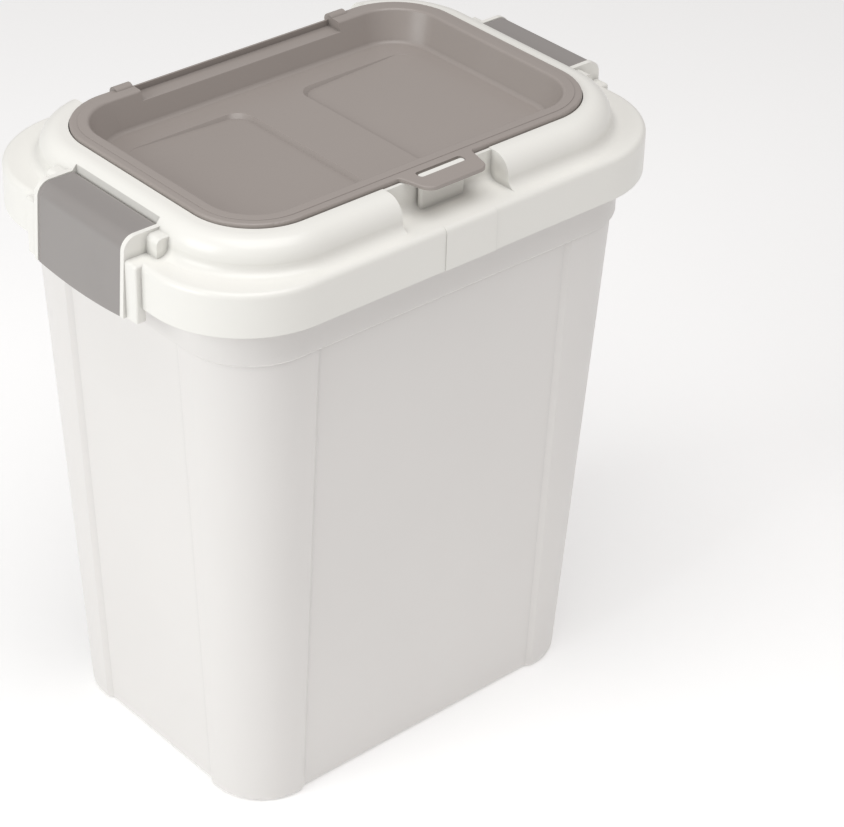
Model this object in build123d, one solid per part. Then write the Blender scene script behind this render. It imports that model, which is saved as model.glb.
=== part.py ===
from build123d import *
import os

# Pet food bin: a tapered tub, a clip-on lid with a hinged pouring flap, and two side latches.
# Millimetres. X runs along the long side, Y from front to back (hinge side), Z up.
# The origin is the middle of the bin's footprint, on the floor.

# --- Tub ---------------------------------------------------------------------------------
TOP_X, TOP_Y, TOP_R = 171.0, 120.5, 47.0         # half length, half width, corner at the taper's top
BASE_X, BASE_Y, BASE_R = TOP_X - 19.5, TOP_Y - 14.5, TOP_R - 7.0  # the same at the floor
TAPER_TOP = 366.0                                # height where the upright band starts
WALL = 2.5                                       # moulded wall, everywhere
BAND_STEP = 2.8                                  # how far the band stands out from the taper
RIM_TOP = TAPER_TOP + 54.0                       # top of the tub
RIM_X, RIM_Y = TOP_X + 19.0, TOP_Y + 13.0        # half size over the turned-out rim
RIM_LIP = 10.0                                   # depth of the rim's turned-down edge
RIM_ROUND = 1.2
PANEL_X, PANEL_Y = TOP_X - 67.0, TOP_Y - 63.5    # half widths of the sunk panels
PANEL_DEPTH, PANEL_SLOPE = 2.6, 4.0              # how deep a panel is, and its sloped border
FLOOR_GAP = 3.0                                  # the floor plate is held this far up
FOOT_RING = 12.0                                 # width of the ring that the tub stands on
BASE_ROUND, FLOOR_ROUND = 5.0, 3.0               # outside at the foot, inside at the floor plate

# --- Lid ---------------------------------------------------------------------------------
SKIRT_X, SKIRT_Y, SKIRT_R = RIM_X + 4.0, RIM_Y + 5.0, TOP_R + 23.0  # half size over the skirt
SKIRT_BOTTOM, BRIM_TOP = RIM_TOP - 22.0, RIM_TOP + 8.0
BRIM_ROUND = 4.0
DOME_TOP = BRIM_TOP + 21.0
DOME_OUT = 20.0                                  # the dome's wall is this far outside the flap
DOME_ROUND, DOME_FOOT = 13.5, 6.5
GUTTER = BRIM_TOP + 9.5                          # floor of the channel that takes the flap's rim
COLLAR_TOP = GUTTER + 3.5                        # wall around the pouring opening
COLLAR_OUT, COLLAR_IN = 9.0, 11.5                # its faces, measured inwards from the flap's edge
SEAT_GAP = 0.7                                   # gap around the flap
PAD_X, PAD_PROUD = 21.0, 0.6                     # thumb pad on the front of the skirt
PLUG_GAP = 1.5                                   # lid's locating wall to the tub's inside
PLUG_BOTTOM = RIM_TOP - 8.0

# --- Flap --------------------------------------------------------------------------------
FLAP_X, FLAP_Y, FLAP_R = TOP_X - 17.5, TOP_Y - 17.0, TOP_R - 1.0
FLAP_TOP = DOME_TOP + 3.0
LIP_WIDTH, LIP_ROUND, LIP_INNER_ROUND = 12.0, 1.4, 2.2
LIP_STEP, LIP_STEP_DROP, LIP_STEP_ROUND = 5.0, 0.35, 0.3  # the lip's outer band is a little lower
FLANGE_BOTTOM = FLAP_TOP - 8.0
TRAY_FLOOR = FLAP_TOP - 22.0
TRAY_RUN = 8.0                                   # how far the tray's walls lean in
TRAY_ROUND_IN, TRAY_ROUND_OUT = 3.5, 5.0
RECESS_DEPTH, RECESS_SIDE = 3.0, 2.4              # deepest point, and the lean of its sides
RECESS_GAP = 23.0                                # half width of the band between the recesses
RECESS_X, RECESS_FRONT, RECESS_BACK = FLAP_X - 33.5, FLAP_Y - 31.5, FLAP_Y - 40.5
RECESS_R = 12.0
TAB_BASE, TAB_END, TAB_REACH = 30.0, 24.0, 22.5  # half widths at root and end, and its reach
TAB_THICK = 2.6
TAB_ROOT, TAB_ROOT_R, TAB_CORNER_R = 10.0, 4.0, 8.0  # the flare where the tab meets the lip
TAB_ROUND = 0.9
SLOT_X, SLOT_NEAR, SLOT_FAR = 19.0, 1.0, 8.0     # the catch slot in the tab
SLOT_R = 2.5
NIB_GAP, NIB_BACK_GAP = 0.5, 2.2                  # catch nib to the slot, and on its inner side
NIB_DROP = 0.8                                   # nib's top below the lip's top
POCKET_X, POCKET_R = 44.0, 6.0                   # half width of the finger pocket in the dome
TAB_GAP = 0.5                                    # tab to the wall that it crosses

# --- Flap hinge --------------------------------------------------------------------------
HINGE_Y, HINGE_Z = FLAP_Y - 1.0, FLAP_TOP - 2.8
KNUCKLE_OUT = FLAP_X - FLAP_R - 10.5
KNUCKLE_IN = KNUCKLE_OUT - 13.0
KNUCKLE_R = 4.5
EAR_WIDTH, EAR_R = 4.0, 2.2                      # the lid's ear stands inside the hollow knuckle
EAR_GAP = 0.5
HINGE_PIN_R, HINGE_PIN_END = 1.0, 1.0            # the pin stops this far inside the knuckle's ends
PIN_FIT = 0.05                                   # radial clearance where a pin turns
SWING_ROOM = 5.2                                 # kept free below the hinge axis
BAY_X = KNUCKLE_OUT + 23.0                       # half width of the cut-away back of the dome
BAY_SLOPE = 0.68                                 # fall of the cut-away towards the brim
LEDGE_TOP = FLAP_TOP - 6.6                       # lowered rim between the knuckles
LEDGE_THICK, LEDGE_END = 2.0, 0.5                 # its thickness, and its end to the knuckle
LEDGE_WALL, LEDGE_WALL_TOP = 1.5, FLAP_TOP - 2.4  # thin outer wall that stays at full height

# --- Latches -----------------------------------------------------------------------------
LATCH_Y = 43.0                                   # half width of a latch
LATCH_OUT = SKIRT_X + 6.2                        # outer face at the lower edge
LATCH_SLOPE = 0.05                               # the face leans in this much per mm upwards
LATCH_TOP = BRIM_TOP + 13.8
LATCH_BOTTOM, LATCH_BOW = BRIM_TOP - 40.0, 2.5   # lower edge, and how far its middle hangs lower
LATCH_WALL = 2.5
LATCH_BEND = 9.0
LATCH_IN = SKIRT_X - 25.0                        # inner edge
LATCH_BARREL = 3.6
LATCH_PIN_R = 1.5
LATCH_GAP = 0.4                                  # latch to cheek, each side
CHEEK = 3.5
CHEEK_PROUD = 0.7
HOUSING_Y, HOUSING_X, HOUSING_BOTTOM = LATCH_Y + 14.5, SKIRT_X + 4.4, LATCH_BOTTOM + 0.5
BUTTRESS_X, BUTTRESS_DROP, BUTTRESS_R = LATCH_IN + 13.0, 8.5, 4.0
NOTCH_GAP = 0.6                                  # latch's inner edge to the dome's cut wall
HOOK_GAP = 0.3                                   # hook to the tub's rim
HOOK_Y, HOOK_TOP, HOOK_THICK = 30.0, RIM_TOP - 10.5, 4.0
WEB, WEB_INSET = 2.0, 6.0                        # stiffening webs behind the latch's face

# --- Seals -------------------------------------------------------------------------------
SEAL_WIDTH, SEAL_GAP = 4.0, 0.3
FLAP_SEAL_TOP = COLLAR_TOP + 2.4
FLAP_SEAL_SIDE = 0.2                             # the seal is this much narrower than its collar

os.makedirs("parts", exist_ok=True)


def outline(x, y, r):
    """A rounded rectangle on the XY plane, from half sizes."""
    return RectangleRounded(2 * x, 2 * y, r)


def prism(x, y, r, low, high):
    return extrude(Pos(0, 0, low) * outline(x, y, r), high - low)


def taper(low, high):
    """A tapered block between two (half x, half y, radius, z) sections."""
    return loft([Pos(0, 0, s[3]) * outline(s[0], s[1], s[2]) for s in (low, high)])


def block(x0, x1, y0, y1, z0, z1):
    size = Box(x1 - x0, y1 - y0, z1 - z0)
    return Pos((x0 + x1) / 2, (y0 + y1) / 2, (z0 + z1) / 2) * size


def flap_prism(out, low, high):
    """A block whose sides are `out` outside the flap's edge."""
    return prism(FLAP_X + out, FLAP_Y + out, FLAP_R + out, low, high)


def rod_x(x0, x1, y, z, r):
    return Pos((x0 + x1) / 2, y, z) * Rot(0, 90, 0) * Cylinder(r, x1 - x0)


def rod_y(y0, y1, x, z, r):
    return Pos(x, (y0 + y1) / 2, z) * Rot(90, 0, 0) * Cylinder(r, y1 - y0)


def mirrored(shape, plane=Plane.YZ):
    return shape + mirror(shape, plane)


def edges_at(shape, z, tol=0.01):
    return shape.edges().filter_by_position(Axis.Z, z - tol, z + tol)


def top_half(z):
    """Half x and half y of the tapered face at height z."""
    share = z / TAPER_TOP
    return BASE_X + (TOP_X - BASE_X) * share, BASE_Y + (TOP_Y - BASE_Y) * share


def panel_wedge(inset):
    """The four sunk panels as cutters; `inset` moves them in for the inner surface."""
    rows = []
    for z in (-1.0, TAPER_TOP + (1.0 if inset else 0.0)):
        rows.append((z, *top_half(z)))
    faces = []
    for z, half_x, half_y in rows:
        far = 20.0
        deep = PANEL_DEPTH + inset
        slope = PANEL_SLOPE * far / PANEL_DEPTH
        front = [(-PANEL_X, -half_y + deep), (PANEL_X, -half_y + deep),
                 (PANEL_X + slope, -half_y + deep - far), (-PANEL_X - slope, -half_y + deep - far)]
        side = [(-half_x + deep, -PANEL_Y), (-half_x + deep, PANEL_Y),
                (-half_x + deep - far, PANEL_Y + slope), (-half_x + deep - far, -PANEL_Y - slope)]
        faces.append((z, front, side))
    wedges = []
    for which in (1, 2):
        sections = [Pos(0, 0, row[0]) * make_face(Polyline(*row[which], close=True)) for row in faces]
        wedges.append(loft(sections))
    return mirrored(wedges[0], Plane.XZ) + mirrored(wedges[1], Plane.YZ)


def make_bin_body():
    outer = taper((BASE_X, BASE_Y, BASE_R, 0), (TOP_X, TOP_Y, TOP_R, TAPER_TOP))
    outer -= panel_wedge(0)
    outer = fillet(edges_at(outer, 0), BASE_ROUND)
    band_x, band_y, band_r = TOP_X + BAND_STEP, TOP_Y + BAND_STEP, TOP_R + BAND_STEP
    band = prism(band_x, band_y, band_r, TAPER_TOP, RIM_TOP)
    band = chamfer(edges_at(band, TAPER_TOP), BAND_STEP - 0.4, BAND_STEP - 0.4)
    rim_r = band_r + (RIM_X - band_x)
    rim = prism(RIM_X, RIM_Y, rim_r, RIM_TOP - RIM_LIP, RIM_TOP)
    rim = fillet(edges_at(rim, RIM_TOP), RIM_ROUND)
    rim -= (prism(RIM_X - WALL, RIM_Y - WALL, rim_r - WALL, 0, RIM_TOP - WALL)
            - prism(band_x - 1, band_y - 1, band_r - 1, 0, RIM_TOP))
    body = outer + band + rim
    low_x, low_y = top_half(FLOOR_GAP + WALL)
    inner = taper((low_x - WALL, low_y - WALL, BASE_R - WALL, FLOOR_GAP + WALL),
                  (TOP_X - WALL, TOP_Y - WALL, TOP_R - WALL, TAPER_TOP + WALL))
    inner -= panel_wedge(WALL)
    inner = fillet(edges_at(inner, FLOOR_GAP + WALL), FLOOR_ROUND)
    inner += prism(band_x - WALL, band_y - WALL, band_r - WALL, TAPER_TOP + WALL, RIM_TOP + 1)
    body -= inner
    body -= prism(BASE_X - FOOT_RING, BASE_Y - FOOT_RING, BASE_R - FOOT_RING, -1, FLOOR_GAP)
    return body


def latch_profile(inset, low, inner_x):
    """Side view (X, Z) of the latch, moved in by `inset`: flat top, bend, leaning face."""
    top, bend = LATCH_TOP - inset, LATCH_BEND - inset
    face_low = LATCH_OUT - inset - LATCH_SLOPE * (low - LATCH_BOTTOM)
    face_top = LATCH_OUT - inset - LATCH_SLOPE * (top - LATCH_BOTTOM)
    wire = FilletPolyline((inner_x, top), (face_top, top), (face_low, low), radius=bend)
    edges = wire + Line((face_low, low), (inner_x, low)) + Line((inner_x, low), (inner_x, top))
    return make_face(edges)


def side_slab(face, y0, y1):
    """Extrudes an XZ face from y0 to y1."""
    return extrude(Plane.XZ.offset(-y0) * face, -(y1 - y0))


def make_housing():
    """The latch housing on the +X side: shoulders, cheeks and buttresses."""
    shoulder = block(SKIRT_X - WALL - 6, HOUSING_X, -HOUSING_Y, HOUSING_Y, HOUSING_BOTTOM, BRIM_TOP)
    shoulder = fillet(shoulder.edges().filter_by(Axis.Z).sort_by(Axis.X)[-2:], 1.5)
    shoulder = fillet(edges_at(shoulder, BRIM_TOP).sort_by(Axis.X)[-1:], 2.0)
    cheek_in = LATCH_Y + LATCH_GAP
    cheek = side_slab(latch_profile(-CHEEK_PROUD, HOUSING_BOTTOM, LATCH_IN - 6),
                      cheek_in, cheek_in + CHEEK)
    buttress = block(LATCH_IN - 12, BUTTRESS_X, cheek_in, HOUSING_Y,
                     BRIM_TOP - WALL, DOME_TOP - BUTTRESS_DROP)
    outer_top = buttress.edges().filter_by(Axis.Y).sort_by(Axis.X)[-2:].sort_by(Axis.Z)[-1:]
    buttress = fillet(outer_top, BUTTRESS_R)
    pair = cheek + buttress
    return shoulder + mirrored(pair, Plane.XZ)


def slab_x(points, x0, x1):
    """A prism along X whose section is the (y, z) outline."""
    section = make_face(Polyline(*[(0, y, z) for y, z in points], close=True))
    return Pos(x0, 0, 0) * extrude(section, x1 - x0, dir=(1, 0, 0))


def cut_hinge_bay(lid, dome):
    """The dome's back is cut away so that the flap can swing; ears carry the hinge pins."""
    floor = HINGE_Z - SWING_ROOM
    bend_y, out_y = FLAP_Y + 5, FLAP_Y + DOME_OUT + 8
    drop = BAY_SLOPE * (out_y - bend_y)
    half = BAY_X
    filled = slab_x([(FLAP_Y + SEAT_GAP, floor - WALL), (bend_y, floor - WALL),
                     (out_y, floor - WALL - drop), (out_y, DOME_TOP + 1),
                     (FLAP_Y + SEAT_GAP, DOME_TOP + 1)], -half, half)
    lid += filled & dome
    for x in (-half - WALL, half):
        lid += block(x, x + WALL, FLAP_Y + SEAT_GAP - 8, out_y, BRIM_TOP, DOME_TOP) & (
            dome - flap_prism(SEAT_GAP, GUTTER - WALL, DOME_TOP + 1))
    lid -= slab_x([(FLAP_Y - 4, floor), (bend_y, floor), (out_y, floor - drop),
                   (out_y, DOME_TOP + 1), (FLAP_Y - 4, DOME_TOP + 1)], -half, half)
    middle = (KNUCKLE_IN + KNUCKLE_OUT) / 2
    for x in (-middle, middle):
        left, right = x - EAR_WIDTH / 2, x + EAR_WIDTH / 2
        stem = slab_x([(HINGE_Y - EAR_R, HINGE_Z - 0.3), (HINGE_Y - 1.2, HINGE_Z - EAR_R + 0.35),
                       (HINGE_Y - 2.0, GUTTER - 0.5), (HINGE_Y - 5.5, GUTTER - 0.5)], left, right)
        lid += rod_x(left, right, HINGE_Y, HINGE_Z, EAR_R) + stem
        lid -= rod_x(left - 1, right + 1, HINGE_Y, HINGE_Z, HINGE_PIN_R + PIN_FIT)
    return lid


def cut_finger_pocket(lid, dome):
    """A notch in the front of the dome, under the tab, with the catch nib standing in it."""
    wall_y = FLAP_Y + SEAT_GAP + WALL
    far_y = FLAP_Y + DOME_OUT + 8
    lid += dome & block(-POCKET_X - WALL, POCKET_X + WALL, -far_y, -wall_y + 1,
                        BRIM_TOP - WALL, DOME_TOP)
    pocket = block(-POCKET_X, POCKET_X, -far_y, -wall_y, BRIM_TOP, DOME_TOP + 1)
    pocket = fillet(pocket.edges().filter_by(Axis.X).sort_by(Axis.Z)[:2].sort_by(Axis.Y)[-1:], POCKET_R)
    lid -= pocket
    tab_low = FLAP_TOP - LIP_STEP_DROP - TAB_THICK
    lid -= block(-POCKET_X, POCKET_X, -wall_y - 1, -FLAP_Y, tab_low - TAB_GAP, DOME_TOP + 1)
    nib_near, nib_far = FLAP_Y + SLOT_NEAR + NIB_BACK_GAP, FLAP_Y + SLOT_FAR - NIB_GAP
    nib = Pos(0, -(nib_near + nib_far) / 2, BRIM_TOP - 1) * outline(
        SLOT_X - NIB_GAP, (nib_far - nib_near) / 2, SLOT_R - NIB_GAP)
    return lid + extrude(nib, FLAP_TOP - NIB_DROP - BRIM_TOP + 1)


def make_lid_frame():
    skirt = prism(SKIRT_X, SKIRT_Y, SKIRT_R, SKIRT_BOTTOM, BRIM_TOP)
    skirt = fillet(edges_at(skirt, BRIM_TOP), BRIM_ROUND)
    dome = flap_prism(DOME_OUT, BRIM_TOP - 1, DOME_TOP)
    dome = fillet(edges_at(dome, DOME_TOP), DOME_ROUND)
    lid = skirt + dome
    foot = [e for e in edges_at(lid, BRIM_TOP) if abs(e.center().Y) < FLAP_Y + DOME_OUT + 1
            and abs(e.center().X) < FLAP_X + DOME_OUT + 1]
    lid = fillet(foot, DOME_FOOT)
    proud = prism(SKIRT_X, SKIRT_Y + PAD_PROUD, SKIRT_R, SKIRT_BOTTOM, BRIM_TOP)
    proud = fillet(edges_at(proud, BRIM_TOP), BRIM_ROUND)
    lid += proud & block(-PAD_X, PAD_X, -SKIRT_Y - 5, -SKIRT_Y + BRIM_ROUND, SKIRT_BOTTOM, BRIM_TOP)
    lid += mirrored(make_housing())

    hollow = prism(SKIRT_X - WALL, SKIRT_Y - WALL, SKIRT_R - WALL, HOUSING_BOTTOM - 9, BRIM_TOP - WALL)
    dome_hollow = flap_prism(DOME_OUT - WALL, BRIM_TOP - WALL - 1, DOME_TOP - WALL)
    dome_hollow = fillet(edges_at(dome_hollow, DOME_TOP - WALL), DOME_ROUND - WALL)
    lid -= hollow
    notch_wall = block(LATCH_IN - NOTCH_GAP - WALL, LATCH_OUT, -HOUSING_Y, HOUSING_Y,
                       SKIRT_BOTTOM, FLAP_TOP)
    lid -= dome_hollow - mirrored(notch_wall)

    # pouring opening: seat for the flap, gutter and collar
    seat = flap_prism(SEAT_GAP + WALL, GUTTER - WALL, DOME_TOP - 1)
    lid += seat - flap_prism(SEAT_GAP, GUTTER, DOME_TOP + 1)
    lid -= flap_prism(SEAT_GAP, GUTTER, DOME_TOP + 1)
    lid += flap_prism(-COLLAR_OUT, GUTTER - 6, COLLAR_TOP)
    lid -= flap_prism(-COLLAR_IN, GUTTER - 20, DOME_TOP + 1)

    lid = cut_hinge_bay(lid, dome)
    lid = cut_finger_pocket(lid, dome)

    # latch bays: open between the cheeks, with a blind socket for the pin at the front
    cheek_in = LATCH_Y + LATCH_GAP
    far_x, far_z = LATCH_OUT + 30, FLAP_TOP + 18
    bay = block(LATCH_IN - NOTCH_GAP, far_x, -cheek_in, cheek_in, BRIM_TOP, far_z)
    bay += block(RIM_X - 3, far_x, -cheek_in, cheek_in, HOUSING_BOTTOM - 19, far_z)
    lid -= mirrored(bay)
    pin_x, pin_z = LATCH_IN + LATCH_BARREL, LATCH_TOP - LATCH_BARREL
    socket = rod_y(-cheek_in - 6, HOUSING_Y + 0.1, pin_x, pin_z, LATCH_PIN_R)
    lid -= mirrored(socket)

    # locating wall inside the tub's mouth
    plug_x = TOP_X + BAND_STEP - WALL - PLUG_GAP
    plug_y = TOP_Y + BAND_STEP - WALL - PLUG_GAP
    plug_r = TOP_R + BAND_STEP - WALL - PLUG_GAP
    plug = prism(plug_x, plug_y, plug_r, PLUG_BOTTOM, BRIM_TOP - 1)
    lid += plug - prism(plug_x - WALL, plug_y - WALL, plug_r - WALL, PLUG_BOTTOM - 1, BRIM_TOP)
    return lid


def make_lid_seal():
    """Ring between the tub's rim and the underside of the lid."""
    x, y, r = TOP_X + BAND_STEP + 1, TOP_Y + BAND_STEP + 1, TOP_R + BAND_STEP + 1
    high = BRIM_TOP - WALL
    low = RIM_TOP + SEAL_GAP
    return (prism(x + SEAL_WIDTH / 2, y + SEAL_WIDTH / 2, r + SEAL_WIDTH / 2, low, high)
            - prism(x - SEAL_WIDTH / 2, y - SEAL_WIDTH / 2, r - SEAL_WIDTH / 2, low - 1, high + 1))


def make_flap_seal():
    """Ring on top of the collar around the pouring opening."""
    return (flap_prism(-COLLAR_OUT - FLAP_SEAL_SIDE, COLLAR_TOP, FLAP_SEAL_TOP)
            - flap_prism(-COLLAR_IN + FLAP_SEAL_SIDE, COLLAR_TOP - 1, FLAP_SEAL_TOP + 1))


def tray_block(grow, high, floor):
    """The tray's inside, widening upwards; `grow` enlarges it for the outer surface."""
    x, y, r = FLAP_X - LIP_WIDTH + grow, FLAP_Y - LIP_WIDTH + grow, FLAP_R - LIP_WIDTH + grow
    return taper((x - TRAY_RUN, y - TRAY_RUN, r - TRAY_RUN / 2, floor), (x, y, r, high))


def recess(grow, level):
    """The recess on the +X side: its floor slopes from nothing at the outer end to full depth."""
    inner_x, outer_x = RECESS_GAP - grow, RECESS_X + grow
    half_y = (RECESS_BACK + RECESS_FRONT) / 2 + grow
    half_x, r = (outer_x - inner_x) / 2, RECESS_R + grow
    mid = ((inner_x + outer_x) / 2, (RECESS_BACK - RECESS_FRONT) / 2)
    high = RECESS_DEPTH * 2
    shape = loft([Pos(*mid, level - high) * outline(half_x - 2 * RECESS_SIDE, half_y - 2 * RECESS_SIDE, r),
                  Pos(*mid, level + high) * outline(half_x + 2 * RECESS_SIDE, half_y + 2 * RECESS_SIDE, r)])
    slope = Polyline((inner_x - high, level - RECESS_DEPTH), (outer_x, level), (outer_x + high, level),
                     (outer_x + high, level + high), (inner_x - high, level + high), close=True)
    return shape & side_slab(make_face(slope), mid[1] - half_y - high, mid[1] + half_y + high)


def make_flap():
    high, low = FLAP_TOP, FLAP_TOP - LIP_STEP_DROP
    lip = fillet(edges_at(flap_prism(0, FLANGE_BOTTOM, low), low), LIP_ROUND)
    raised = fillet(edges_at(flap_prism(-LIP_STEP, low - 1, high), high), LIP_STEP_ROUND)
    lip += raised
    lip -= flap_prism(-WALL, FLANGE_BOTTOM - 1, FLAP_TOP - WALL)
    rib = flap_prism(-COLLAR_OUT - FLAP_SEAL_SIDE, FLAP_SEAL_TOP + SEAL_GAP, FLAP_TOP - 1)
    rib -= flap_prism(-COLLAR_IN + FLAP_SEAL_SIDE, FLAP_SEAL_TOP - 1, FLAP_TOP)
    outer = tray_block(WALL, FLAP_TOP - 1, TRAY_FLOOR - WALL)
    outer = fillet(edges_at(outer, TRAY_FLOOR - WALL), TRAY_ROUND_OUT)
    inner = tray_block(0, FLAP_TOP + 0.5, TRAY_FLOOR)
    inner = fillet(edges_at(inner, TRAY_FLOOR), TRAY_ROUND_IN)
    flap = lip + rib + outer
    flap -= inner
    mouth = [e for e in edges_at(flap, FLAP_TOP) if abs(e.center().X) < FLAP_X - LIP_STEP - 3
             and abs(e.center().Y) < FLAP_Y - LIP_STEP - 3]
    flap = fillet(mouth, LIP_INNER_ROUND)

    # lowered ledge between the knuckles, behind a thin outer wall
    inside_y, wall_y = FLAP_Y - LIP_WIDTH - 3, FLAP_Y - LEDGE_WALL
    ledge_x = KNUCKLE_IN - LEDGE_END
    flap -= block(-ledge_x, ledge_x, inside_y, FLAP_Y + 5, LEDGE_TOP, FLAP_TOP + 1)
    ledge = block(-ledge_x, ledge_x, inside_y + 2, FLAP_Y, LEDGE_TOP - LEDGE_THICK, LEDGE_TOP)
    end_wall = block(ledge_x, ledge_x + LEDGE_THICK, inside_y + 2, FLAP_Y - 1,
                     LEDGE_TOP - LEDGE_THICK, FLAP_TOP - 1)
    flap += (ledge + mirrored(end_wall)) - inner
    inner_edge = [e for e in edges_at(flap, LEDGE_TOP)
                  if e.length > ledge_x and 0 < e.center().Y < FLAP_Y - LIP_WIDTH + 0.5]
    if inner_edge:
        flap = fillet(inner_edge, LIP_ROUND / 2)
    flap += block(-ledge_x, ledge_x, wall_y, FLAP_Y, LEDGE_TOP - LEDGE_THICK, LEDGE_WALL_TOP)

    flap += mirrored(rod_x(KNUCKLE_IN, KNUCKLE_OUT, HINGE_Y, HINGE_Z, KNUCKLE_R))
    root_y, back_y = -FLAP_Y + 0.6, -FLAP_Y + 2
    wide = TAB_BASE + TAB_ROOT
    edge = FilletPolyline((-wide, root_y), (-TAB_BASE, root_y), (-TAB_END, -FLAP_Y - TAB_REACH),
                          (TAB_END, -FLAP_Y - TAB_REACH), (TAB_BASE, root_y), (wide, root_y),
                          radius=[TAB_ROOT_R, TAB_CORNER_R, TAB_CORNER_R, TAB_ROOT_R])
    sketch = edge + Polyline((wide, root_y), (wide, back_y), (-wide, back_y), (-wide, root_y))
    tab_top = FLAP_TOP - LIP_STEP_DROP
    tab = extrude(Pos(0, 0, tab_top - TAB_THICK) * make_face(sketch), TAB_THICK)
    rim_edges = [e for e in edges_at(tab, tab_top) if e.center().Y < -FLAP_Y]
    tab = fillet(rim_edges, TAB_ROUND)
    flap += tab
    slot_mid = -FLAP_Y - (SLOT_NEAR + SLOT_FAR) / 2
    slot = Pos(0, slot_mid, FLAP_TOP - 6) * outline(SLOT_X, (SLOT_FAR - SLOT_NEAR) / 2, SLOT_R)
    flap -= extrude(slot, 12)

    for side in (-1, 1):
        plate = recess(WALL, TRAY_FLOOR - WALL) & block(0, FLAP_X, -FLAP_Y, FLAP_Y, TRAY_FLOOR - 3 * WALL,
                                                        TRAY_FLOOR - WALL / 2)
        hollow = recess(0, TRAY_FLOOR)
        flap += plate if side > 0 else mirror(plate, Plane.YZ)
        flap -= hollow if side > 0 else mirror(hollow, Plane.YZ)

        # the knuckle is hollow around the lid's ear, and open below it
        middle = side * (KNUCKLE_IN + KNUCKLE_OUT) / 2
        left, right = middle - EAR_WIDTH / 2 - EAR_GAP, middle + EAR_WIDTH / 2 + EAR_GAP
        flap -= rod_x(left, right, HINGE_Y, HINGE_Z, EAR_R + EAR_GAP)
        flap -= block(left, right, FLAP_Y - COLLAR_OUT + 0.5, FLAP_Y + 8, FLANGE_BOTTOM - 4, HINGE_Z)
    flap -= mirrored(rod_x(KNUCKLE_IN + HINGE_PIN_END, KNUCKLE_OUT - HINGE_PIN_END,
                           HINGE_Y, HINGE_Z, HINGE_PIN_R))
    return flap


def make_hinge_pin(side):
    inner, outer = KNUCKLE_IN + HINGE_PIN_END, KNUCKLE_OUT - HINGE_PIN_END
    pin = rod_x(inner, outer, HINGE_Y, HINGE_Z, HINGE_PIN_R)
    return pin if side > 0 else mirror(pin, Plane.YZ)


def make_latch(side):
    bottom = LATCH_BOTTOM - LATCH_BOW
    barrel_x, barrel_z = LATCH_IN + LATCH_BARREL, LATCH_TOP - LATCH_BARREL
    outer = latch_profile(0, bottom, barrel_x)
    inner = latch_profile(LATCH_WALL, bottom - 1, barrel_x - 5)
    plate = side_slab(outer, -LATCH_Y, LATCH_Y) - side_slab(inner, -LATCH_Y - 1, LATCH_Y + 1)
    sag = LATCH_BOW
    radius = (LATCH_Y ** 2 + sag ** 2) / (2 * sag)
    bow = Pos(LATCH_OUT, 0, bottom + radius) * Rot(0, 90, 0) * Cylinder(radius, 60)
    low = block(LATCH_OUT - 20, LATCH_OUT + 5, -LATCH_Y - 1, LATCH_Y + 1, bottom - 5, LATCH_BOTTOM + 1)
    plate -= low - bow
    latch = plate + rod_y(-LATCH_Y, LATCH_Y, barrel_x, barrel_z, LATCH_BARREL)
    for y in (-LATCH_Y + WEB_INSET, LATCH_Y - WEB_INSET - WEB):
        web_slab = side_slab(latch_profile(1, HOOK_TOP, barrel_x + 2), y, y + WEB)
        web_slab -= block(100, RIM_X + WALL, y - 1, y + WEB + 1, HOUSING_BOTTOM - 9, BRIM_TOP + 2)
        latch += web_slab
    hook_far = LATCH_OUT - WALL - 0.5
    latch += block(RIM_X + HOOK_GAP, hook_far, -HOOK_Y, HOOK_Y, HOOK_TOP - HOOK_THICK, HOOK_TOP)
    latch -= rod_y(-LATCH_Y - 1, LATCH_Y + 1, barrel_x, barrel_z, LATCH_PIN_R + PIN_FIT)
    return latch if side > 0 else mirror(latch, Plane.YZ)


def make_latch_pin(side):
    barrel_x, barrel_z = LATCH_IN + LATCH_BARREL, LATCH_TOP - LATCH_BARREL
    pin = rod_y(-LATCH_Y - LATCH_GAP - 5, HOUSING_Y - 2, barrel_x, barrel_z, LATCH_PIN_R)
    return pin if side > 0 else mirror(pin, Plane.YZ)


nodes = {
    "bin_body": make_bin_body(),
    "lid_frame": make_lid_frame(),
    "lid_seal": make_lid_seal(),
    "flap": make_flap(),
    "flap_seal": make_flap_seal(),
    "hinge_pin_left": make_hinge_pin(-1),
    "hinge_pin_right": make_hinge_pin(1),
    "latch_left": make_latch(-1),
    "latch_right": make_latch(1),
    "latch_pin_left": make_latch_pin(-1),
    "latch_pin_right": make_latch_pin(1),
}
for name, shape in nodes.items():
    export_step(shape, f"parts/{name}.step")
    print(name, len(shape.solids()), round(shape.volume / 1000, 1))
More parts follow.
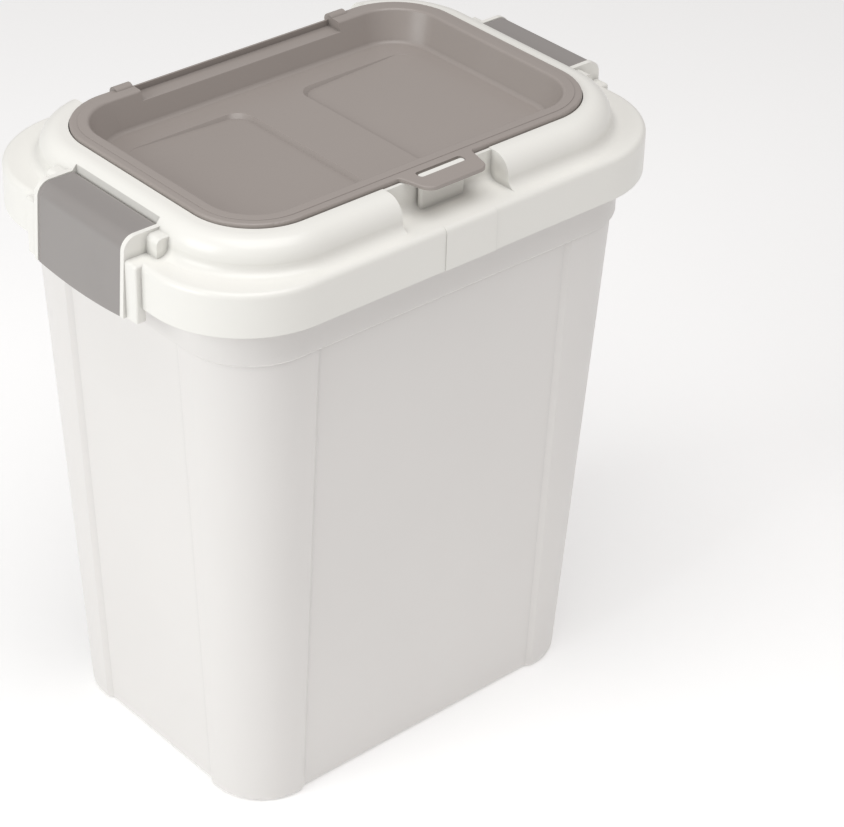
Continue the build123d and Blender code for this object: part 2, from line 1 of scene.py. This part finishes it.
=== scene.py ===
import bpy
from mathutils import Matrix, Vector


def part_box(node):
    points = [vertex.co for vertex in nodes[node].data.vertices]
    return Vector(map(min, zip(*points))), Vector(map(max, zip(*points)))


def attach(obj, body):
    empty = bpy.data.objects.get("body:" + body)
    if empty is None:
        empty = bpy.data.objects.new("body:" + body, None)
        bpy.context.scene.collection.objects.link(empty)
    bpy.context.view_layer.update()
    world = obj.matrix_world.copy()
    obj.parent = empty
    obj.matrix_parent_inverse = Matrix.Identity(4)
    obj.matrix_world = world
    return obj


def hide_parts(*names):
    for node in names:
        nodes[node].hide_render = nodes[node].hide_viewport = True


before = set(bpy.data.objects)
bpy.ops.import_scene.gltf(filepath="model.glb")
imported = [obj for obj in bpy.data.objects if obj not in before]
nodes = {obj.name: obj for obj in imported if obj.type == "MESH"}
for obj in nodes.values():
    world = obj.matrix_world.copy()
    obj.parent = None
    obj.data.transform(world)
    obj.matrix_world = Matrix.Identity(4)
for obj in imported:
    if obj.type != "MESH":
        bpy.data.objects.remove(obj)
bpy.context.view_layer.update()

import math

import bpy
from mathutils import Matrix, Vector

# --- Tub ---------------------------------------------------------------------------------
# The bin's body is injection-moulded polypropylene in a warm white. The mould was spark
# eroded, so the surface is satin with a very fine grain, a little cloudy from the flow of
# the melt, and rubbed duller in faint patches.
CREASE_SHADE_REACH = 0.005        # how far painted shade in a fold of the surface reaches, in metres
CREASE_SHADE_SAMPLES = 8
PEEL_HEIGHT = 0.0004
GRAIN_HEIGHT = 0.00012


def node_at(tree, kind, **values):
    """Add a node, and set its inputs, or its own settings where it has no such input."""
    node = tree.nodes.new(kind)
    for key, value in values.items():
        if key in node.inputs:
            node.inputs[key].default_value = value
        else:
            setattr(node, key, value)
    return node


def add_sockets(tree, inputs, outputs):
    """Give a node group its named inputs and outputs."""
    for name, kind, value in inputs:
        socket = tree.interface.new_socket(name, in_out="INPUT", socket_type=kind)
        if value is not None:
            socket.default_value = value
    for name, kind in outputs:
        tree.interface.new_socket(name, in_out="OUTPUT", socket_type=kind)


def moulded_surface():
    """Shader group: cloudiness, painted shade in creases, grain, orange peel and rub marks of a
    moulding.
    """
    tree = bpy.data.node_groups.new("moulded_surface", "ShaderNodeTree")
    add_sockets(tree,
                [("Color", "NodeSocketColor", (0.8, 0.8, 0.8, 1)),
                 ("Cloudiness", "NodeSocketFloat", 0.04),
                 ("Crease Shade", "NodeSocketFloat", 0.5),
                 ("Roughness", "NodeSocketFloat", 0.4),
                 ("Rub", "NodeSocketFloat", 0.1),
                 ("Grain Scale", "NodeSocketFloat", 1500.0),
                 ("Grain Depth", "NodeSocketFloat", 0.08),
                 ("Peel Depth", "NodeSocketFloat", 0.05)],
                [("Color", "NodeSocketColor"), ("Roughness", "NodeSocketFloat"),
                 ("Normal", "NodeSocketVector")])
    link = tree.links.new
    given = tree.nodes.new("NodeGroupInput")
    result = tree.nodes.new("NodeGroupOutput")
    place = tree.nodes.new("ShaderNodeTexCoord")

    cloud = node_at(tree, "ShaderNodeTexNoise", Scale=7.0, Detail=3.0, Roughness=0.55)
    link(place.outputs["Object"], cloud.inputs["Vector"])
    centred = node_at(tree, "ShaderNodeMath", operation="SUBTRACT")
    centred.inputs[1].default_value = 0.5
    link(cloud.outputs["Fac"], centred.inputs[0])
    swing = node_at(tree, "ShaderNodeMath", operation="MULTIPLY_ADD")
    link(centred.outputs[0], swing.inputs[0])
    link(given.outputs["Cloudiness"], swing.inputs[1])
    swing.inputs[2].default_value = 1.0
    tint = tree.nodes.new("ShaderNodeHueSaturation")
    link(given.outputs["Color"], tint.inputs["Color"])
    link(swing.outputs[0], tint.inputs["Value"])

    # Painted shade: the colour is darkened in creases and folds, where nearby surfaces close in,
    # by the group's crease amount.
    crease_shade_ao = node_at(tree, "ShaderNodeAmbientOcclusion", only_local=True,
                     samples=CREASE_SHADE_SAMPLES, Distance=CREASE_SHADE_REACH)
    unshaded = node_at(tree, "ShaderNodeMath", operation="SUBTRACT")
    unshaded.inputs[0].default_value = 1.0
    link(given.outputs["Crease Shade"], unshaded.inputs[1])
    shade = node_at(tree, "ShaderNodeMath", operation="MULTIPLY_ADD")
    link(crease_shade_ao.outputs["AO"], shade.inputs[0])
    link(given.outputs["Crease Shade"], shade.inputs[1])
    link(unshaded.outputs[0], shade.inputs[2])
    painted_shade_colour = node_at(tree, "ShaderNodeVectorMath", operation="SCALE")
    link(tint.outputs["Color"], painted_shade_colour.inputs[0])
    link(shade.outputs[0], painted_shade_colour.inputs["Scale"])
    link(painted_shade_colour.outputs["Vector"], result.inputs["Color"])

    stretch = node_at(tree, "ShaderNodeMapping", Scale=(9.0, 12.0, 14.0), Rotation=(0.2, 0.1, 0.4))
    link(place.outputs["Object"], stretch.inputs["Vector"])
    marks = node_at(tree, "ShaderNodeTexNoise", Scale=1.6, Detail=3.0, Roughness=0.5)
    link(stretch.outputs["Vector"], marks.inputs["Vector"])
    picked = node_at(tree, "ShaderNodeMapRange", **{"From Min": 0.48, "From Max": 0.72})
    link(marks.outputs["Fac"], picked.inputs["Value"])
    duller = node_at(tree, "ShaderNodeMath", operation="MULTIPLY_ADD", use_clamp=True)
    link(picked.outputs["Result"], duller.inputs[0])
    link(given.outputs["Rub"], duller.inputs[1])
    link(given.outputs["Roughness"], duller.inputs[2])
    link(duller.outputs[0], result.inputs["Roughness"])

    peel = node_at(tree, "ShaderNodeTexNoise", Scale=160.0, Detail=1.0)
    link(place.outputs["Object"], peel.inputs["Vector"])
    peel_bump = node_at(tree, "ShaderNodeBump", Distance=PEEL_HEIGHT)
    link(given.outputs["Peel Depth"], peel_bump.inputs["Strength"])
    link(peel.outputs["Fac"], peel_bump.inputs["Height"])
    grain = node_at(tree, "ShaderNodeTexNoise", Detail=2.0, Roughness=0.6)
    link(place.outputs["Object"], grain.inputs["Vector"])
    link(given.outputs["Grain Scale"], grain.inputs["Scale"])
    grain_bump = node_at(tree, "ShaderNodeBump", Distance=GRAIN_HEIGHT)
    link(given.outputs["Grain Depth"], grain_bump.inputs["Strength"])
    link(grain.outputs["Fac"], grain_bump.inputs["Height"])
    link(peel_bump.outputs["Normal"], grain_bump.inputs["Normal"])
    link(grain_bump.outputs["Normal"], result.inputs["Normal"])
    return tree


surface = moulded_surface()


def moulded_plastic(name, color, roughness, **extra):
    """A plastic whose look, painted shade in its creases included, comes from the moulded_surface
    group.
    """
    material = bpy.data.materials.new(name)
    material.use_nodes = True
    tree = material.node_tree
    shader = tree.nodes["Principled BSDF"]
    group = tree.nodes.new("ShaderNodeGroup")
    group.node_tree = surface
    group.inputs["Color"].default_value = (*color, 1)
    group.inputs["Roughness"].default_value = roughness
    for key, value in extra.items():
        socket = key.replace("_", " ").title()
        (group if socket in group.inputs else shader).inputs[socket].default_value = value
    tree.links.new(group.outputs["Color"], shader.inputs["Base Color"])
    tree.links.new(group.outputs["Roughness"], shader.inputs["Roughness"])
    tree.links.new(group.outputs["Normal"], shader.inputs["Normal"])
    return material


def wear(material, *names):
    """Put a material on CAD nodes."""
    for name in names:
        nodes[name].data.materials.clear()
        nodes[name].data.materials.append(material)


tub_plastic = moulded_plastic("tub_plastic", (0.80, 0.78, 0.76), 0.34, cloudiness=0.05,
                              rub=0.08, grain_depth=0.04, peel_depth=0.01)
wear(tub_plastic, "bin_body")

# --- Lid ---------------------------------------------------------------------------------
# The lid is moulded from the same polypropylene in a polished mould, so it is a little
# glossier and creamier than the tub. Ears, cheeks and the catch nib are part of it.
lid_plastic = moulded_plastic("lid_plastic", (0.86, 0.85, 0.81), 0.28, cloudiness=0.03,
                              rub=0.05, grain_depth=0.02, peel_depth=0.01)
wear(lid_plastic, "lid_frame")

# --- Flap --------------------------------------------------------------------------------
# The pouring flap is a separate moulding in a warm grey, satin with faint dull marks.
# It turns on two pins at the back of the lid.
grey_plastic = moulded_plastic("grey_plastic", (0.35, 0.312, 0.29), 0.34, cloudiness=0.07,
                               rub=0.16, grain_depth=0.08, peel_depth=0.02)
wear(grey_plastic, "flap")

# --- Latches -----------------------------------------------------------------------------
# Two grip latches moulded in a darker grey than the flap. They are handled most, so they
# are a little glossier, with stronger rub marks.
latch_plastic = moulded_plastic("latch_plastic", (0.30, 0.28, 0.27), 0.32, cloudiness=0.06,
                                rub=0.20, grain_depth=0.08, peel_depth=0.02)
wear(latch_plastic, "latch_left", "latch_right")

# --- Hinge pins and latch pins -----------------------------------------------------------
# Drawn steel wire, cut to length. Its gloss varies in fine specks along the wire.
pin_steel = bpy.data.materials.new("pin_steel")
pin_steel.use_nodes = True
tree = pin_steel.node_tree
steel = tree.nodes["Principled BSDF"]
steel.inputs["Base Color"].default_value = (0.56, 0.55, 0.53, 1)
steel.inputs["Metallic"].default_value = 1.0
place = tree.nodes.new("ShaderNodeTexCoord")
specks = node_at(tree, "ShaderNodeTexNoise", Scale=4000.0, Detail=2.0)
level = node_at(tree, "ShaderNodeMapRange", **{"To Min": 0.24, "To Max": 0.42})
tree.links.new(place.outputs["Object"], specks.inputs["Vector"])
tree.links.new(specks.outputs["Fac"], level.inputs["Value"])
tree.links.new(level.outputs["Result"], steel.inputs["Roughness"])
wear(pin_steel, "hinge_pin_left", "hinge_pin_right", "latch_pin_left", "latch_pin_right")

# --- Lid seal ----------------------------------------------------------------------------
# A soft rubber ring under the brim, just above the tub's rim. It is an extruded profile
# with rounded edges, joined into a ring and pressed into the lid.
LID_SEAL_WIDTH, LID_SEAL_ROUND = 0.004, 0.0012
CORNER_STEPS, PROFILE_STEPS = 24, 5
seal_rubber = moulded_plastic("seal_rubber", (0.55, 0.55, 0.54), 0.62, cloudiness=0.10,
                              rub=0.20, grain_depth=0.25, peel_depth=0.10)


def ring_tree():
    """Geometry nodes: a rounded rectangle path swept with a rounded profile."""
    tree = bpy.data.node_groups.new("seal_ring", "GeometryNodeTree")
    sizes = ("Length", "Width", "Corner", "Height",
             "Profile Width", "Profile Height", "Profile Round")
    add_sockets(tree, [(size, "NodeSocketFloat", 0.01) for size in sizes]
                + [("Material", "NodeSocketMaterial", None)], [("Geometry", "NodeSocketGeometry")])
    link = tree.links.new
    given = tree.nodes.new("NodeGroupInput")
    result = tree.nodes.new("NodeGroupOutput")

    def rounded(width, height, corner, count):
        """A rectangle whose corners are rounded in count steps."""
        box = tree.nodes.new("GeometryNodeCurvePrimitiveQuadrilateral")
        link(given.outputs[width], box.inputs["Width"])
        link(given.outputs[height], box.inputs["Height"])
        curve = tree.nodes.new("GeometryNodeFilletCurve")
        if "Mode" in curve.inputs:
            curve.inputs["Mode"].default_value = "Poly"
        else:
            curve.mode = "POLY"
        curve.inputs["Count"].default_value = count
        link(box.outputs["Curve"], curve.inputs["Curve"])
        link(given.outputs[corner], curve.inputs["Radius"])
        return curve.outputs["Curve"]

    path = rounded("Length", "Width", "Corner", CORNER_STEPS)
    profile = rounded("Profile Width", "Profile Height", "Profile Round", PROFILE_STEPS)
    lift = tree.nodes.new("ShaderNodeCombineXYZ")
    link(given.outputs["Height"], lift.inputs["Z"])
    moved = tree.nodes.new("GeometryNodeSetPosition")
    link(path, moved.inputs["Geometry"])
    link(lift.outputs["Vector"], moved.inputs["Offset"])
    upright = tree.nodes.new("GeometryNodeSetCurveNormal")
    if "Mode" in upright.inputs:
        upright.inputs["Mode"].default_value = "Z Up"
    else:
        upright.mode = "Z_UP"
    link(moved.outputs["Geometry"], upright.inputs["Curve"])
    swept = tree.nodes.new("GeometryNodeCurveToMesh")
    link(upright.outputs["Curve"], swept.inputs["Curve"])
    link(profile, swept.inputs["Profile Curve"])
    smooth = tree.nodes.new("GeometryNodeSetShadeSmooth")
    real = tree.nodes.new("GeometryNodeRealizeInstances")
    paint = tree.nodes.new("GeometryNodeSetMaterial")
    link(swept.outputs["Mesh"], smooth.inputs["Geometry"])
    link(smooth.outputs["Geometry"], real.inputs["Geometry"])
    link(real.outputs["Geometry"], paint.inputs["Geometry"])
    link(given.outputs["Material"], paint.inputs["Material"])
    link(paint.outputs["Geometry"], result.inputs["Geometry"])
    return tree


seal_tree = ring_tree()


def seal_ring(name, body, node, wide, profile_round):
    """A swept ring that takes its path and height from the CAD node that it stands for."""
    low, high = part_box(node)
    tall = high[2] - low[2]
    source = bpy.data.objects.new(name + "_source", bpy.data.meshes.new(name + "_source"))
    bpy.context.collection.objects.link(source)
    modifier = source.modifiers.new("ring", "NODES")
    modifier.node_group = seal_tree
    same_place = 1e-4
    back_edge = [v.co.x for v in nodes[node].data.vertices if v.co.y > high[1] - same_place]
    corner = high[0] - max(back_edge)
    values = {"Length": high[0] - low[0] - wide, "Width": high[1] - low[1] - wide,
              "Corner": corner - wide / 2, "Height": (low[2] + high[2]) / 2, "Profile Width": wide,
              "Profile Height": tall, "Profile Round": profile_round, "Material": seal_rubber}
    for item in seal_tree.interface.items_tree:
        if item.in_out == "INPUT":
            modifier[item.identifier] = values[item.name]
    bpy.context.view_layer.update()
    shown = source.evaluated_get(bpy.context.evaluated_depsgraph_get())
    mesh = bpy.data.meshes.new_from_object(shown)
    bpy.data.objects.remove(source)
    ring = bpy.data.objects.new(name, mesh)
    bpy.context.collection.objects.link(ring)
    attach(ring, body)
    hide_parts(node)


seal_ring("lid_seal_ring", "lid", "lid_seal", LID_SEAL_WIDTH, LID_SEAL_ROUND)

# --- Flap seal ---------------------------------------------------------------------------
# A thin rubber ring on the collar of the pouring opening. The flap's rib closes over it.
FLAP_SEAL_WIDTH, FLAP_SEAL_ROUND = 0.0021, 0.0008
seal_ring("flap_seal_ring", "lid", "flap_seal", FLAP_SEAL_WIDTH, FLAP_SEAL_ROUND)

# --- Camera ------------------------------------------------------------------------------
# A product view from the front left, looking down on the lid.
CAMERA_PLACE = (-1.027, -1.2292, 1.2616)
TURN, LOOK_DOWN, LEAN = math.radians(42.23), math.radians(33.17), math.radians(1.74)
camera_data = bpy.data.cameras.new("product_camera")
camera_data.sensor_width = 36.0
camera_data.lens = 117.8
camera_data.clip_end = 20.0
camera = bpy.data.objects.new("product_camera", camera_data)
bpy.context.collection.objects.link(camera)
camera.matrix_world = (Matrix.Translation(CAMERA_PLACE)
                       @ Matrix.Rotation(-TURN, 4, "Z")
                       @ Matrix.Rotation(math.pi / 2 - LOOK_DOWN, 4, "X")
                       @ Matrix.Rotation(LEAN, 4, "Z"))
bpy.context.scene.camera = camera

# --- Light and floor ---------------------------------------------------------------------
# A white studio: an even, slightly warm surround, one large soft light from the left that
# is slightly cool, and one overhead. The floor glows faintly to keep it near white.
FLOOR_SIZE = 12
world = bpy.data.worlds.new("studio")
bpy.context.scene.world = world
world.use_nodes = True
surround = world.node_tree.nodes["Background"].inputs
surround["Color"].default_value = (1.0, 0.965, 0.95, 1)
surround["Strength"].default_value = 0.38
bpy.context.scene.view_settings.view_transform = "Standard"


def softbox(name, place, aim, size, power, color=(1.0, 1.0, 1.0)):
    """A rectangular area light at place that points at aim."""
    data = bpy.data.lights.new(name, "AREA")
    data.shape = "RECTANGLE"
    data.size, data.size_y = size
    data.energy = power
    data.color = color
    lamp = bpy.data.objects.new(name, data)
    bpy.context.collection.objects.link(lamp)
    lamp.location = place
    lamp.rotation_euler = (Vector(aim) - Vector(place)).to_track_quat("-Z", "Y").to_euler()


softbox("key", place=(-2.2, 0.2, 1.3), aim=(0, 0, 0.25), size=(1.4, 1.4), power=21,
        color=(0.97, 1.0, 1.0))
softbox("top", place=(-0.2, -0.5, 2.4), aim=(0, 0, 0.3), size=(1.8, 1.8), power=27)

bpy.ops.mesh.primitive_plane_add(size=FLOOR_SIZE, location=(0, 0, 0))
floor = bpy.context.object
floor.name = "floor"
paint = bpy.data.materials.new("floor_paint")
paint.use_nodes = True
painted = paint.node_tree.nodes["Principled BSDF"].inputs
painted["Base Color"].default_value = (0.96, 0.96, 0.96, 1)
painted["Roughness"].default_value = 0.8
painted["Emission Color"].default_value = (1, 1, 1, 1)
painted["Emission Strength"].default_value = 0.20
floor.data.materials.append(paint)
